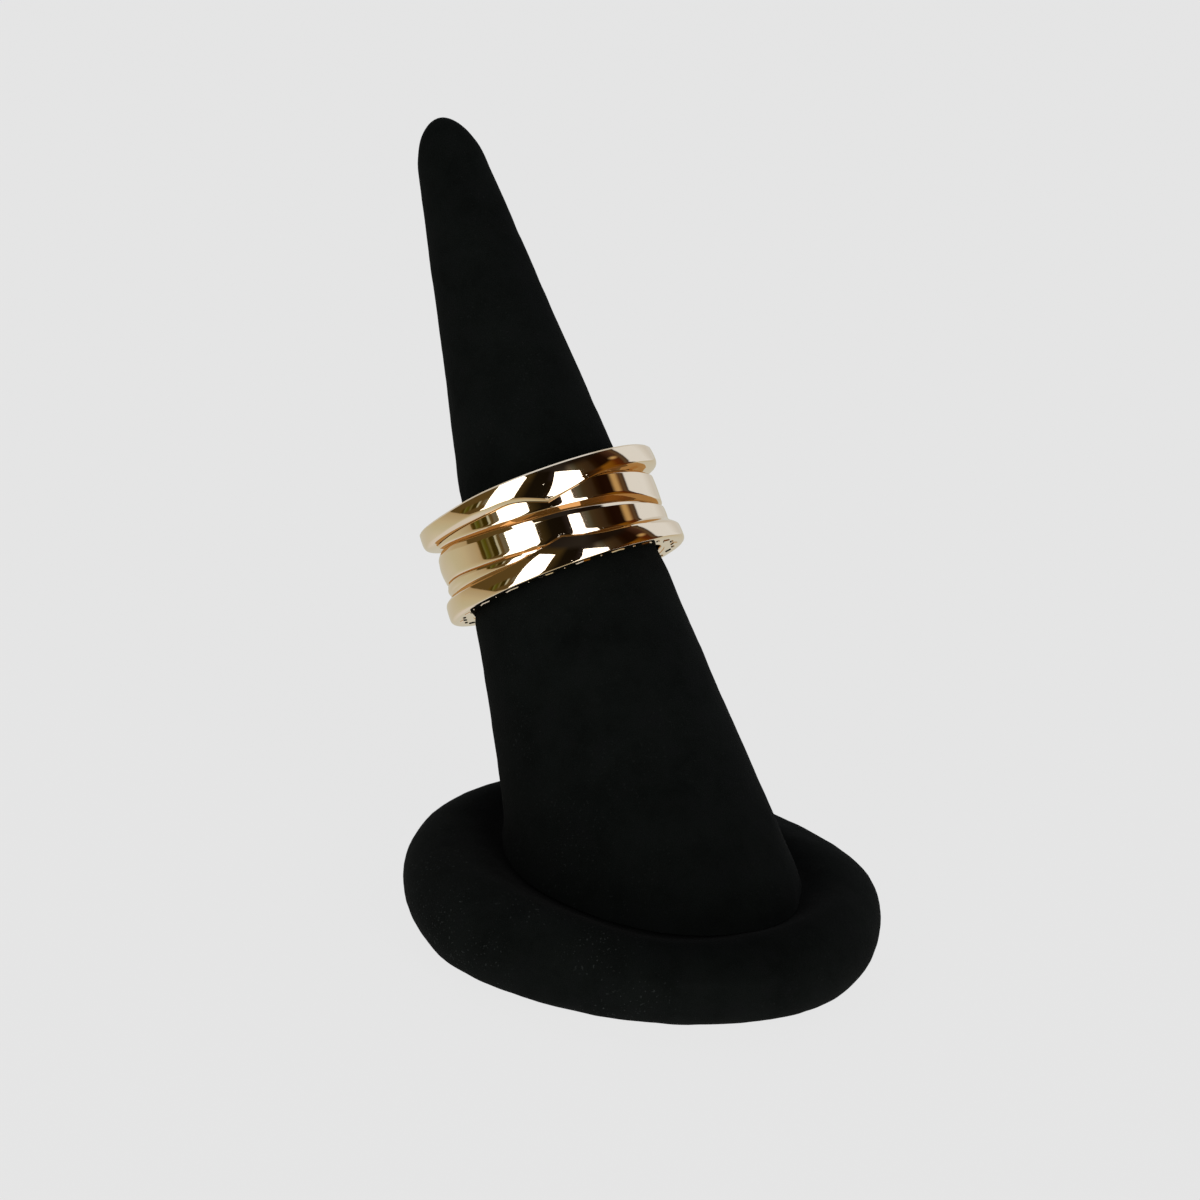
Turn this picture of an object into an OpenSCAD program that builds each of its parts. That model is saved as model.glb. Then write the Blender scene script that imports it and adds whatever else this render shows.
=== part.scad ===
/* [Stand] */
// Width of the round base
base_d = 42.8; // [40:0.1:60]
// Thickness of the round base
base_h = 8; // [6:0.5:12]
// Radius of the cone where its axis meets the top of the base
foot_r = 12; // [10:0.1:12.5]
// Half angle of the cone
cone_angle = 7.85; // [7:0.05:8.5]
// Half width of the cone's long round tip
tip_r = 3.3; // [2:0.1:4]
// Height of the tip above its widest place
tip_h = 6.8; // [2:0.1:8]
// Angle that the cone leans back from upright
lean = 36.5; // [20:0.1:38]

/* [Ring] */
// Bore, for a finger about 55 mm round
bore_d = 17.4; // [16:0.1:18]
// Width of the ring along the finger
ring_h = 8.9; // [8.6:0.1:9.4]
// Outside of the two rims at their fullest
rim_d = 22.1; // [21.8:0.1:23]
// Outside of the spiral band
spiral_d = 20.5; // [20:0.1:20.8]
// Wall of the smooth inner band
inner_wall = 0.35; // [0.3:0.05:0.5]
// Height that the spiral drops in one turn
pitch = 2.95; // [2.8:0.05:3.1]

/* [Seat] */
// Space between the bore and the cone at the ring's lower face
seat_play = 0.22; // [0.2:0.01:0.6]
// Turn of the ring's front around the cone, seen from its tip
ring_turn = -38.1; // [-180:0.1:180]
// Tilt of the ring on the cone, to its left
ring_tilt = 4.6; // [0:0.1:5]

/* [Hidden] */

// Space between neighbouring pieces of the ring
gap = 0.06;
// Space between the cone and the base
foot_gap = 0.05;
// Radius where the rims and the spiral end, just outside the inner band
core_r = bore_d / 2 + inner_wall + gap;

// Angles around the ring run from the middle of its front, with plus to the right.
// Heights run from the ring's lower face. The edge tables hold angle, height.
upper_edge = [[-180, 7.1], [-100, 7], [-76, 6.85], [-52, 7], [-12, 7.08], [4, 5.93], [36, 7.15], [180, 7.1]];
lower_edge = [[-180, 1.8], [-80, 2.1], [-40, 2.1], [-24, 2.13], [-8, 2.25], [4, 2.66], [12, 2.2], [20, 1.9], [32, 1.75], [180, 1.8]];
// Drop of the spiral's edge in the turn that starts at the left: angle, drop in parts of the pitch
spiral_drop = [[-90, 0], [-64, 0.06], [-24, 0.19], [0, 0.31], [25, 0.46], [47, 0.6], [68, 0.78], [90, 0.9], [270, 1]];
// Width of the groove between two turns: angle, width
groove_width = [[-90, 0.3], [-24, 0.32], [0, 0.4], [25, 0.9], [45, 0.85], [90, 0.6], [270, 0.3]];
// Height of the spiral's first lower edge at the left
spiral_start_z = 6.45;
// Angles where the spiral comes out from the upper rim and runs in behind the lower one
spiral_from = -60;
spiral_to = 700;
// Space left at the bottom of the groove between two turns
root_gap = 0.1;
// Radius where the groove's slanted sides end
root_r = 9.7;
// Height of the slant that joins the upper rim to the spiral's face: angle, height
upper_slant = [[-180, 0.4], [-32, 0.4], [-12, 0.12], [4, 0.12], [20, 0.3], [36, 0.4], [180, 0.4]];
// Height of the slant that joins the lower rim to the spiral's face
lower_slant = 0.12;
// Angle between two sections of the rims, and of the spiral
step = 4;

rim_r = rim_d / 2;
spiral_r = spiral_d / 2;
seat_r = bore_d / 2 - seat_play;
cone_length = foot_r / tan(cone_angle);
// Place of the ring's lower face along the cone, from the foot
seat_at = cone_length - seat_r / tan(cone_angle);

// Part of a circle as points from one angle to another
function arc(centre, radius, from, to, steps) = [
    for (i = [0 : steps])
        let (a = from + (to - from) * i / steps)
        centre + radius * [cos(a), sin(a)]
];

// A section's point, given as radius and height, turned to its angle
function turned(point, angle) = [point[0] * sin(angle), -point[0] * cos(angle), point[1]];

// Angle brought into the turn that starts at the left of the ring
function in_turn(angle) = angle - 360 * floor((angle + 90) / 360);

// Angle brought to between -180 and 180
function around(angle) = angle - 360 * floor((angle + 180) / 360);

function upper_edge_z(angle) = lookup(around(angle), upper_edge);
function lower_edge_z(angle) = lookup(around(angle), lower_edge);
function upper_slant_z(angle) = upper_edge_z(angle) - lookup(around(angle), upper_slant);
function lower_slant_z(angle) = lower_edge_z(angle) + lower_slant;

// Lower edge of the spiral, counted on through its turns
function spiral_low(angle) =
    spiral_start_z - pitch * (floor((angle + 90) / 360) + lookup(in_turn(angle), spiral_drop));
function groove(angle) = lookup(in_turn(angle), groove_width);

// Two triangles between each pair of neighbours in two rows of points
function wall(row, next, count) = [
    for (i = [0 : count - 1])
        let (j = (i + 1) % count)
        each [[row + i, next + j, row + j], [row + i, next + i, next + j]]
];

// Section of the upper rim: flat top, full outer face, wavy lower edge and a slant to the spiral
function upper_section(angle) =
    let (edge = upper_edge_z(angle), slant = upper_slant_z(angle))
    [
        [core_r, ring_h],
        [rim_r - 0.45, ring_h],
        [rim_r - 0.28, ring_h - 0.12],
        [rim_r - 0.06, (2 * ring_h + edge) / 3],
        [rim_r, (ring_h + 2 * edge) / 3],
        [rim_r - 0.14, edge],
        [spiral_r + gap, slant],
        [core_r, slant]
    ];

// Section of the lower rim: flat lower face, full outer face and a wavy upper edge
function lower_section(angle) =
    let (edge = lower_edge_z(angle), slant = lower_slant_z(angle))
    [
        [core_r, slant],
        [spiral_r + gap, slant],
        [rim_r - 0.22, edge],
        [rim_r - 0.04, edge * 2 / 3],
        [rim_r, edge / 3],
        [rim_r - 0.1, 0.15],
        [rim_r - 0.26, 0],
        [core_r, 0]
    ];

// Section of the spiral band, held between the two rims
function spiral_section(angle) =
    let (
        top_limit = upper_slant_z(angle) - gap,
        low_limit = lower_slant_z(angle) + gap,
        above = spiral_low(angle - 360),
        low = spiral_low(angle),
        wide = groove(angle),
        top_face = min(above - wide, top_limit - 0.02),
        top_root = min(above - (wide + root_gap) / 2, top_limit),
        low_face = max(low, low_limit + 0.02),
        low_root = max(low - (wide - root_gap) / 2, low_limit),
        shoulder = 0.12 * (top_face - low_face)
    )
    [
        [core_r, top_root],
        [root_r, top_root],
        [spiral_r - 0.12, top_face],
        [spiral_r, top_face - shoulder],
        [spiral_r, low_face + shoulder],
        [spiral_r - 0.12, low_face],
        [root_r, low_root],
        [core_r, low_root]
    ];

module upper_rim_body() {
    closed_sweep([for (a = [0 : step : 360 - step]) upper_section(a)]);
}

module lower_rim_body() {
    closed_sweep([for (a = [0 : step : 360 - step]) lower_section(a)]);
}

// Joins sections that stand at even angles all the way round
module closed_sweep(sections) {
    rows = len(sections);
    count = len(sections[0]);
    points = [for (i = [0 : rows - 1]) each [for (p = sections[i]) turned(p, i * 360 / rows)]];
    faces = [for (i = [0 : rows - 1]) each wall(i * count, ((i + 1) % rows) * count, count)];
    polyhedron(points, faces);
}

module spiral_body() {
    rows = (spiral_to - spiral_from) / step;
    count = len(spiral_section(0));
    points = [
        for (i = [0 : rows])
            let (a = spiral_from + i * step)
            each [for (p = spiral_section(a)) turned(p, a)]
    ];
    faces = [for (i = [0 : rows - 1]) each wall(i * count, (i + 1) * count, count)];
    first = [for (i = [0 : count - 1]) i];
    last = [for (i = [count - 1 : -1 : 0]) rows * count + i];
    polyhedron(points, concat(faces, [first, last]));
}

// Places the ring's own frame on the cone
module on_cone() {
    translate([0, 0, base_h])
        rotate([-lean, 0, 0])
            translate([0, 0, seat_at])
                rotate([0, 0, ring_turn])
                    rotate([0, -ring_tilt, 0])
                        children();
}

// Upper rim, with the wavy lower edge that dips at the front
module upper_rim() {
    color("#d9b48f") on_cone() upper_rim_body();
}

// Flat band wound a little over two turns between the rims
module spiral_band() {
    color("#d2a983") on_cone() spiral_body();
}

// Lower rim, with the wavy upper edge that rises at the front
module lower_rim() {
    color("#d9b48f") on_cone() lower_rim_body();
}

// Smooth band that lines the bore, rounded where it meets the finger
module inner_band() {
    round_r = inner_wall * 0.8;
    inside = bore_d / 2;
    outside = inside + inner_wall;
    outline = concat(
        [[outside, 0.1], [outside, ring_h - 0.1]],
        arc([inside + round_r, ring_h - 0.1 - round_r], round_r, 90, 180, 4),
        arc([inside + round_r, 0.1 + round_r], round_r, 180, 270, 4)
    );
    color("#e3c3a2") on_cone() rotate_extrude($fn = 96) polygon(outline);
}

// Velvet cone that leans back, cut flat where it stands on the base
module finger_cone() {
    leaves_at = atan(tip_h / tip_r * tan(cone_angle));
    tip_at = cone_length - tip_r * cos(leaves_at) / tan(cone_angle) - tip_h * sin(leaves_at);
    tip_steps = 10;
    start_at = -foot_r;
    start_r = foot_r + foot_r * tan(cone_angle);
    outline = concat(
        [[0, start_at], [start_r, start_at]],
        [for (i = [0 : tip_steps])
            let (a = leaves_at + (90 - leaves_at) * i / tip_steps)
            [tip_r * cos(a), tip_at + tip_h * sin(a)]]
    );
    color("#17171a") difference() {
        translate([0, 0, base_h]) rotate([-lean, 0, 0]) rotate_extrude($fn = 96) polygon(outline);
        translate([-base_d, -base_d, base_h + foot_gap - 2 * base_d]) cube(2 * base_d);
    }
}

// Round velvet base with a full rounded edge and a flat underside
module stand_base() {
    edge_r = base_h / 2;
    outline = concat(
        [[0, 0]],
        arc([base_d / 2 - edge_r, edge_r], edge_r, -90, 90, 12),
        [[0, base_h]]
    );
    color("#1c1c1f") rotate_extrude($fn = 96) polygon(outline);
}

upper_rim();
spiral_band();
lower_rim();
inner_band();
finger_cone();
stand_base();
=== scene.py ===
import math

import bmesh
import bpy
import numpy as np
from bpy.props import FloatProperty, FloatVectorProperty, IntProperty, PointerProperty
from mathutils import Matrix, Vector, noise


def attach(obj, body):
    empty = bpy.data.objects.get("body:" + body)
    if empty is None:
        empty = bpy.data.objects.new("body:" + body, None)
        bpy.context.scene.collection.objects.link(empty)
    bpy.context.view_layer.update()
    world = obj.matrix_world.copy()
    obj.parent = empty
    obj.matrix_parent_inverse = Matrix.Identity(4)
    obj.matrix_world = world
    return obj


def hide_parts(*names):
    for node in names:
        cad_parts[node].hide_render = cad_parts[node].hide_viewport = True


bl_info = {
    "name": "Triple Band Ring",
    "version": (1, 0, 0),
    "blender": (4, 5, 0),
    "location": "View3D > Sidebar > Band Ring",
    "description": "Polished ring of stacked bands on a velvet finger cone",
    "category": "Object",
}

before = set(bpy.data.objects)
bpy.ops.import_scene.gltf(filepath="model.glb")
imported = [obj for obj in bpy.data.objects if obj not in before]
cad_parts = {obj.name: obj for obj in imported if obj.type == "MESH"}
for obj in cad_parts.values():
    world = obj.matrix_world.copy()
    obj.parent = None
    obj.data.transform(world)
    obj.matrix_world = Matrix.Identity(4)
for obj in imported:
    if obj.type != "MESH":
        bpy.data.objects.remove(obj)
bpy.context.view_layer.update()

MM = 0.001

# Angles round the ring run in degrees from the middle of its front, plus to the right.
# Heights run in mm from the ring's lower face. Rows: angle, height.
UPPER_EDGE = (
    (-180, 7.1), (-100, 7.0), (-76, 6.85), (-52, 6.92), (-30, 6.95), (-12, 7.06), (4, 5.93), (36, 7.15),
    (180, 7.1),
)
LOWER_EDGE = (
    (-180, 1.75), (-80, 1.78), (-50, 1.78), (-40, 1.74), (-30, 1.74), (-22, 1.86), (-8, 2.2), (4, 2.62),
    (12, 2.2), (20, 1.86), (32, 1.7), (180, 1.75),
)
# Angle of the sharp kink in both edges.
KINK = 4.0
# How far the upper rim's underside runs down to the spiral's face. Rows: angle, height.
UPPER_SLANT = (
    (-180, 0.2), (-90, 0.14), (-66, 0.12), (-50, 0.06), (-36, 0), (-12, -0.04), (25, -0.06), (30, 0.04),
    (35, 0.1), (40, 0.16), (45, 0.23), (50, 0.28), (56, 0.3), (62, 0.28), (70, 0.2), (90, 0.2), (180, 0.2),
)
# How far the lower rim's top runs up to the spiral's face. Rows: angle, height.
LOWER_SLANT = (
    (-180, 0.3), (-60, 0.36), (-32, 0.34), (-24, 0.12), (-8, 0.05), (4, 0.1), (20, 0.14), (180, 0.3),
)
# The polished corner of the upper rim's wavy side.
# Rows: angle, height, share of a round corner as against a bevel.
UPPER_CORNER = (
    (-180, 0.6, 1), (-100, 0.8, 1), (-78, 0.55, 1), (-62, 0.24, 0.3), (-50, 0.3, 0), (-36, 0.46, 0),
    (-24, 0.38, 0), (-8, 0.3, 0), (4, 0.26, 0), (8, 0.18, 0.5), (14, 0.16, 1), (30, 0.16, 1),
    (50, 0.14, 1), (70, 0.3, 1), (95, 0.6, 1), (180, 0.6, 1),
)
# How far the upper rim's top is worn down, and how far below it the rim is fullest.
# Rows: angle, wear, depth.
UPPER_TOP = (
    (-180, 0, 1.25), (-125, 0.05, 1.25), (-95, 0.24, 1.2), (-76, 0.36, 1.0), (-58, 0.34, 0.95),
    (-46, 0.26, 0.95), (-30, 0.05, 0.95), (-16, 0, 0.95), (52, 0, 0.95), (76, 0.04, 1.35), (180, 0, 1.25),
)
# Round of the lower rim's bottom corner. Rows: angle, width.
LOWER_ROUND = (
    (-180, 0.4), (-80, 0.4), (-62, 0.24), (-48, 0.12), (44, 0.12), (66, 0.3), (84, 0.36), (180, 0.4),
)
# Share of the soft fillet that joins the lower rim to the spiral. Rows: angle, share.
LOWER_FILLET = ((-180, 1), (-120, 1), (-84, 0.5), (-66, 0), (38, 0), (54, 1), (180, 1))
# Drop of the spiral's lower edge in the turn that starts at the left.
# Rows: angle, drop in parts of the pitch.
SPIRAL_DROP = (
    (-90, 0), (-64, 0.037), (-53, 0.078), (-39, 0.16), (-26, 0.225), (-20, 0.27), (-7, 0.325), (4, 0.375),
    (13, 0.424), (24, 0.47), (33, 0.505), (42, 0.559), (52, 0.641), (62, 0.746), (70, 0.847), (90, 0.915),
    (270, 1),
)
# How far the second turn's lower edge runs down to the lower rim at its end. Rows: angle, share.
RUN_DOWN = ((350, 0), (357, 1), (360, 0))
# The narrow groove between two turns, measured down from the upper turn's edge. Rows: angle, height of
# its root, of its lower side's end and of the crease where the straight face starts, depth of the lower
# side's end, roundness of the shoulder, swell of the face.
GROOVE = (
    (-90, 0.12, 0.24, 1.0, 0.42, 2.2, 0.1), (-72, 0.13, 0.26, 0.8, 0.26, 1.8, 0.05),
    (-60, 0.14, 0.28, 0.66, 0.11, 1.3, 0), (-50, 0.16, 0.3, 0.8, 0.05, 1, 0),
    (-24, 0.2, 0.4, 0.78, 0.035, 1, 0), (-9, 0.27, 0.52, 0.87, 0.05, 1, 0),
    (4, 0.24, 0.46, 0.9, 0.12, 1, 0), (14, 0.24, 0.46, 0.93, 0.13, 1, 0),
    (24, 0.32, 0.62, 0.98, 0.11, 1, 0), (40, 0.36, 0.7, 1.0, 0.1, 1, 0), (52, 0.35, 0.68, 0.9, 0.1, 1, 0),
    (68, 0.2, 0.4, 0.6, 0.3, 1.2, 0), (90, 0.12, 0.24, 0.5, 0.28, 2, 0.03),
    (270, 0.12, 0.24, 1.0, 0.42, 2.2, 0.1),
)
# How much of the groove is left where the spiral runs out. Rows: angle, share.
GROOVE_LEFT = ((560, 1), (620, 0.4))
# Depth of the groove for its height.
GROOVE_DEPTH = 0.95
# Angles where the spiral starts and ends, and the height of its first lower edge.
SPIRAL_FROM = -72
SPIRAL_TO = 713
SPIRAL_START_Z = 6.45
# Space round the inner band, between the spiral and the rims, and from the spiral's face to the rims' slants.
CORE_GAP = 0.01
GAP = 0.008
FACE_GAP = 0.02
# How far the spiral's lower edge draws in, softly and then sharply.
EDGE_SOFT = 0.03
EDGE_SHARP = 0.07
# How far the velvet at the cone's foot stands out. Rows: angle in the stand's frame, distance.
FOOT_FLARE = (
    (-180, 1.2), (-155, 1.1), (-133, 1.0), (-117, 0.4), (-96, -0.7), (-58, -0.9), (-40, -0.1), (0, 0.5),
    (90, 0.6), (140, 0.5), (162, 0.9), (180, 1.2),
)
# How far the base's velvet swells. Rows: angle in the stand's frame, distance.
BASE_SWELL = (
    (-180, 0.46), (-160, 0.32), (-145, 0.02), (-131, -0.13), (-116, -0.08), (-100, 0.18), (-84, 0.32),
    (-72, 0.34), (-60, 0.2), (-50, 0), (-42, -0.1), (-35, 0.1), (-28, 0.42), (-20, 0.2), (-10, -0.12),
    (4, -0.3), (20, -0.14), (60, 0.1), (95, 0.36), (118, 0.18), (132, -0.1), (145, -0.3), (158, -0.14),
    (170, 0.3), (180, 0.46),
)
# How far the cloth bulges beside the ring. Rows: distance along the cone from the ring's lower face, bulge.
RING_BULGE = (
    (-14, 0), (-9, 0.08), (-5, 0.2), (-1.2, 0.32), (0, 0.1), (0.6, 0), (8, 0), (9.4, 0.04), (10.5, 0.14),
    (14, 0.12), (20, 0.03), (24, 0),
)
# The side where the bulge is full, in the cone's frame, and the share of it all round.
BULGE_AT = 139
BULGE_LEAST = 0.3
# Painted shade on the cone's velvet, darkest at its foot. Rows: share, height where it fades.
CONE_PAINTED_SHADE = ((0.3, 1.9), (0.38, 10))
# Angles where a rim's sections start and end.
ROUND = (90, 450)


class BandRingStand(bpy.types.PropertyGroup):
    """Sizes of the velvet stand."""

    base_d: FloatProperty(
        name="Base width", description="Width of the round base", default=0.0428, unit="LENGTH"
    )
    base_h: FloatProperty(
        name="Base thickness", description="Thickness of the round base", default=0.008, unit="LENGTH"
    )
    foot_r: FloatProperty(
        name="Foot radius", description="Radius of the cone where its axis meets the base",
        default=0.012, unit="LENGTH",
    )
    cone_angle: FloatProperty(
        name="Cone angle", description="Half angle of the cone", default=math.radians(7.85), subtype="ANGLE"
    )
    tip_r: FloatProperty(
        name="Tip half width", description="Half width of the round tip", default=0.0033, unit="LENGTH"
    )
    tip_h: FloatProperty(
        name="Tip height", description="Height of the tip above its widest place",
        default=0.0068, unit="LENGTH",
    )
    lean: FloatProperty(
        name="Lean", description="Angle that the cone leans back", default=math.radians(36.5), subtype="ANGLE"
    )
    nap: FloatProperty(
        name="Unevenness", description="How uneven the velvet lies over its core",
        default=0.00006, unit="LENGTH",
    )


class BandRingSizes(bpy.types.PropertyGroup):
    """Sizes of the ring and its place on the cone."""

    bore_d: FloatProperty(name="Bore", description="Width of the bore", default=0.0174, unit="LENGTH")
    ring_h: FloatProperty(
        name="Ring width", description="Width of the ring along the finger", default=0.0089, unit="LENGTH"
    )
    rim_d: FloatProperty(
        name="Rims", description="Outside of the rims at their fullest", default=0.0221, unit="LENGTH"
    )
    spiral_d: FloatProperty(
        name="Spiral", description="Outside of the spiral band", default=0.0205, unit="LENGTH"
    )
    inner_wall: FloatProperty(
        name="Inner band", description="Wall of the inner band", default=0.00035, unit="LENGTH"
    )
    pitch: FloatProperty(
        name="Pitch", description="Height that the spiral drops in a turn", default=0.00295, unit="LENGTH"
    )
    seat_play: FloatProperty(
        name="Play", description="Space between bore and cone at the lower face",
        default=0.00022, unit="LENGTH",
    )
    turn: FloatProperty(
        name="Turn", description="Turn of the ring's front round the cone",
        default=math.radians(-38.1), subtype="ANGLE",
    )
    tilt: FloatProperty(
        name="Tilt", description="Tilt of the ring on the cone", default=math.radians(4.6), subtype="ANGLE"
    )
    steps: IntProperty(
        name="Steps", description="Sections in one turn of a rim", default=360, min=90, max=720
    )


class BandRingFinish(bpy.types.PropertyGroup):
    """Colours of the gold and the velvet."""

    gold: FloatVectorProperty(
        name="Gold", description="Colour of the polished gold", default=(0.9, 0.75, 0.57), subtype="COLOR"
    )
    velvet: FloatVectorProperty(
        name="Velvet", description="Colour of the velvet", default=(0.0046, 0.0056, 0.0051), subtype="COLOR"
    )
    lint: FloatVectorProperty(
        name="Lint", description="Colour of the specks in the pile",
        default=(0.026, 0.029, 0.028), subtype="COLOR",
    )


class BandRingStage(bpy.types.PropertyGroup):
    """The camera, the lights and the floor."""

    elevation: FloatProperty(
        name="Elevation", description="Camera's height above the surface",
        default=math.radians(21.11), subtype="ANGLE",
    )
    roll: FloatProperty(
        name="Roll", description="Camera's roll", default=math.radians(7.45), subtype="ANGLE"
    )
    side: FloatProperty(
        name="Side", description="Turn of the cone's lean from away, to the left",
        default=math.radians(40.98), subtype="ANGLE",
    )
    distance: FloatProperty(
        name="Distance", description="Camera's distance from the ring", default=1.0, unit="LENGTH"
    )
    lens: FloatProperty(name="Lens", description="Focal length on a 36 mm sensor", default=337.2)
    box_distance: FloatProperty(
        name="Light distance", description="Distance of the two soft boxes", default=0.6, unit="LENGTH"
    )
    box_strength: FloatProperty(
        name="Light strength", description="Radiance of the two soft boxes", default=3.0
    )
    floor_glow: FloatProperty(
        name="Floor glow", description="Even brightness of the pale floor", default=0.769
    )


def mm(value):
    """A size in mm from a property in metres."""
    return value / MM


def wrap(angle):
    """Angle brought to between -180 and 180."""
    return (angle + 180.0) % 360.0 - 180.0


def row_value(rows, angle, column=1):
    """Value at an angle, straight between a table's rows."""
    return float(np.interp(angle, [r[0] for r in rows], [r[column] for r in rows]))


def averaged(rows, column, place, angle):
    """A table's value with its corners rounded a little. The place function says where an angle is read."""
    return sum(row_value(rows, place(angle + part), column) for part in (-5, 0, 5)) / 3


def softened(rows, angle, spread, kink=None):
    """A table's value with its corners rounded over a spread of angles, except at its kink."""
    if kink is not None:
        spread = min(spread, abs(wrap(angle - kink)))
    return sum(row_value(rows, wrap(angle + spread * k)) for k in (-1, -0.5, 0, 0.5, 1)) / 5


def upper_edge(angle):
    return softened(UPPER_EDGE, angle, 6, KINK)


def lower_edge(angle):
    return softened(LOWER_EDGE, angle, 5, KINK)


def upper_under(angle):
    """Height where the upper rim's underside meets the spiral's face."""
    return upper_edge(angle) - softened(UPPER_SLANT, angle, 5)


def lower_top(angle):
    """Height where the lower rim's top meets the spiral's face."""
    return lower_edge(angle) + softened(LOWER_SLANT, angle, 5)


def in_turn(angle):
    """Angle brought into the turn that starts at the ring's left."""
    return angle - 360 * math.floor((angle + 90) / 360)


def spiral_low(angle, pitch):
    """Lower edge of the spiral, counted on through its turns."""
    total = 0.0
    for part in (-6, -3, 0, 3, 6):
        a = angle + part
        total += math.floor((a + 90) / 360) + row_value(SPIRAL_DROP, in_turn(a))
    low = SPIRAL_START_Z - pitch * total / 5
    return low + (lower_top(angle) + GAP - low) * row_value(RUN_DOWN, angle)


def groove_value(angle, column):
    """One of the groove's sizes. All but the roundness and the swell shrink where the spiral runs out."""
    value = averaged(GROOVE, column, in_turn, angle)
    return value * row_value(GROOVE_LEFT, angle) if column < 5 else value


def quarter(low_r, low_z, wide, tall, steps=6):
    """A round corner from a face down and inwards."""
    turns = [math.pi / 2 * i / steps for i in range(1, steps + 1)]
    return [(low_r - wide * (1 - math.cos(a)), low_z - tall * math.sin(a)) for a in turns]


def eased(before, corner, after, width, steps=5):
    """A corner between two straight lines, rounded over a width."""
    corner = Vector(corner)
    ways = [Vector(p) - corner for p in (before, after)]
    first, last = (corner + way.normalized() * min(width, way.length * 0.5) for way in ways)
    places = [i / steps for i in range(steps + 1)]
    return [tuple(first * (1 - t) ** 2 + corner * 2 * t * (1 - t) + last * t * t) for t in places]


def rim_face(z, fullest, rim_r):
    """Radius of a rim's full outer face at a height, falling away from its fullest line."""
    t, bend, steepening = abs(z - fullest), 0.0825, 0.005
    return rim_r - bend * t * t - steepening * t**4


def rim_points(face_top, face_low, fullest, rim_r):
    """Points down a rim's full outer face."""
    heights = [face_top + (face_low - face_top) * i / 10 for i in range(11)]
    return [(rim_face(z, fullest, rim_r), z) for z in heights]


def core_radius(sizes):
    """Radius in mm where the outer bands end, just outside the inner band."""
    return mm(sizes.bore_d) / 2 + mm(sizes.inner_wall) + CORE_GAP


def seat_place(stand, sizes):
    """Place in mm of the ring's lower face along the cone, from its foot."""
    slope = math.tan(stand.cone_angle)
    return mm(stand.foot_r) / slope - (mm(sizes.bore_d) / 2 - mm(sizes.seat_play)) / slope


def place_on_cone(stand, sizes):
    """Matrix from the ring's own frame in mm to the model's in metres."""
    return (
        Matrix.Scale(MM, 4)
        @ Matrix.Translation((0, 0, mm(stand.base_h)))
        @ Matrix.Rotation(-stand.lean, 4, "X")
        @ Matrix.Translation((0, 0, seat_place(stand, sizes)))
        @ Matrix.Rotation(sizes.turn, 4, "Z")
        @ Matrix.Rotation(-sizes.tilt, 4, "Y")
    )


def swept_band(section, first, last, steps, closed):
    """A band whose section changes with its angle. A spun loop's vertices take their sections' places."""
    bm = bmesh.new()
    count = len(section(first))
    spacing = 0.01
    loop = [bm.verts.new((1 + spacing * i, 0, 0)) for i in range(count)]
    edges = [bm.edges.new((loop[i], loop[(i + 1) % count])) for i in range(count)]
    bmesh.ops.spin(
        bm, geom=loop + edges, cent=(0, 0, 0), axis=(0, 0, 1), dvec=(0, 0, 0 if closed else 1),
        angle=math.radians(last - first), steps=steps, use_merge=closed,
    )
    for v in bm.verts:
        point = round((math.hypot(v.co.x, v.co.y) - 1) / spacing)
        if closed:
            step = round(math.degrees(math.atan2(v.co.y, v.co.x)) / 360 * steps) % steps
        else:
            step = round(v.co.z)
        v.index = step * count + point
    sections = [section(first + (last - first) * k / steps) for k in range(steps + (0 if closed else 1))]
    for v in bm.verts:
        step, point = divmod(v.index, count)
        angle = math.radians(first + (last - first) * step / steps)
        r, z = sections[step][point]
        v.co = (r * math.sin(angle), -r * math.cos(angle), z)
    if not closed:
        bmesh.ops.holes_fill(bm, edges=[e for e in bm.edges if e.is_boundary], sides=0)
    return bm


def turned(points, steps):
    """A shape turned once round the z axis from a line of points, given as radius and height."""
    bm = bmesh.new()
    line = [bm.verts.new((r, 0, z)) for r, z in points]
    edges = [bm.edges.new(pair) for pair in zip(line, line[1:])]
    bmesh.ops.spin(
        bm, geom=line + edges, cent=(0, 0, 0), axis=(0, 0, 1), angle=2 * math.pi, steps=steps, use_merge=True
    )
    bmesh.ops.remove_doubles(bm, verts=bm.verts, dist=1e-4)
    return bm


def round_edges(bm):
    """Breaks a rim's sharp edges with a narrow round, as polishing does."""
    sharp, width = math.radians(22), 0.018
    edges = [e for e in bm.edges if len(e.link_faces) == 2 and e.calc_face_angle() > sharp]
    bmesh.ops.bevel(
        bm, geom=edges, offset=width, offset_type="OFFSET", segments=2, profile=0.5, affect="EDGES",
        material=-1, clamp_overlap=True,
    )


def make_piece(bm, name, matrix, material, nodes, sharp):
    """Closes a shape's work: places it, smooths its shading and hands it to the frame."""
    bmesh.ops.remove_doubles(bm, verts=bm.verts, dist=1e-5)
    bmesh.ops.dissolve_degenerate(bm, edges=bm.edges, dist=1e-5)
    bmesh.ops.recalc_face_normals(bm, faces=bm.faces)
    for f in bm.faces:
        f.smooth = True
    for e in bm.edges:
        if len(e.link_faces) == 2:
            e.smooth = e.calc_face_angle() < sharp
    bmesh.ops.transform(bm, matrix=matrix, verts=bm.verts)
    mesh = bpy.data.meshes.new(name)
    bm.to_mesh(mesh)
    bm.free()
    mesh.materials.append(material)
    piece = bpy.data.objects.new(name, mesh)
    bpy.context.scene.collection.objects.link(piece)
    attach(piece, "root")
    if nodes:
        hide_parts(*nodes)


def make_gold(bm, name, nodes=(), sharp=24):
    """Closes a gold piece's work, in its place on the cone."""
    scene = bpy.context.scene
    matrix = place_on_cone(scene.band_ring_stand, scene.band_ring_sizes)
    make_piece(bm, name, matrix, polished_gold(), nodes, math.radians(sharp))


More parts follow.
